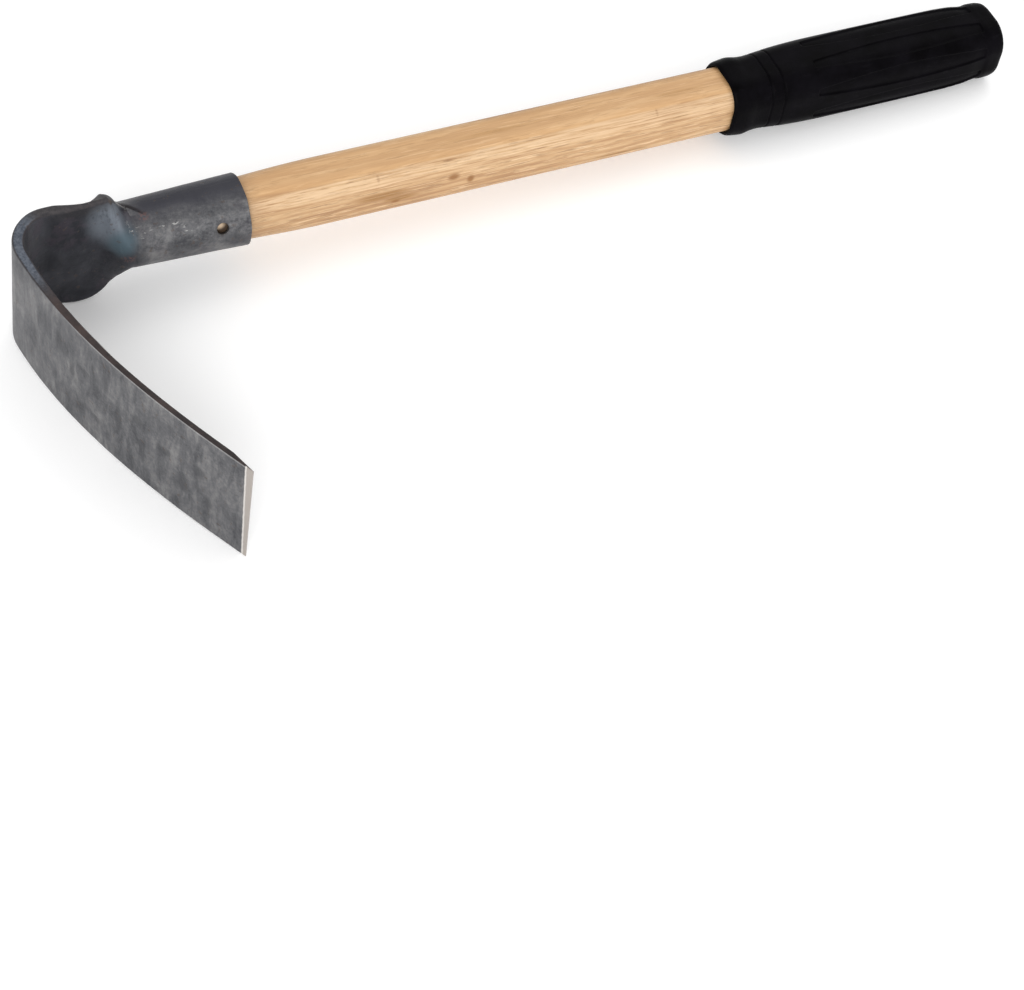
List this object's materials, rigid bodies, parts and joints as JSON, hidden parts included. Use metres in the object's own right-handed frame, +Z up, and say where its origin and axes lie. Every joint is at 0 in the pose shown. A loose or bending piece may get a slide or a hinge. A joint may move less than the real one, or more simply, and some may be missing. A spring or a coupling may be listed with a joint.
{
  "type": "hand sickle",
  "caption": "Short hooked hand sickle: a forged steel head with a socket and a wide hooked blade, on a straight wooden handle with a moulded rubber grip.",
  "frame": {"origin": "centre of the bounding box's underside, with the tool lying on its side on a table", "axes": "+X along the handle from the head to the grip's end, +Z up from the table; the blade hooks towards -Y"},
  "size_m": [0.4308, 0.1541, 0.0535],
  "materials": {
    "forged_steel": "hammer-forged steel with a dark oxide skin, satin, ground bright along the blade's edges",
    "wood": "pale straight-grained hardwood, lightly oiled",
    "rubber": "moulded black rubber with a satin skin"
  },
  "bodies": {
    "root": {"head": "forged_steel", "handle": "wood", "grip": "rubber"}
  },
  "joints": []
}
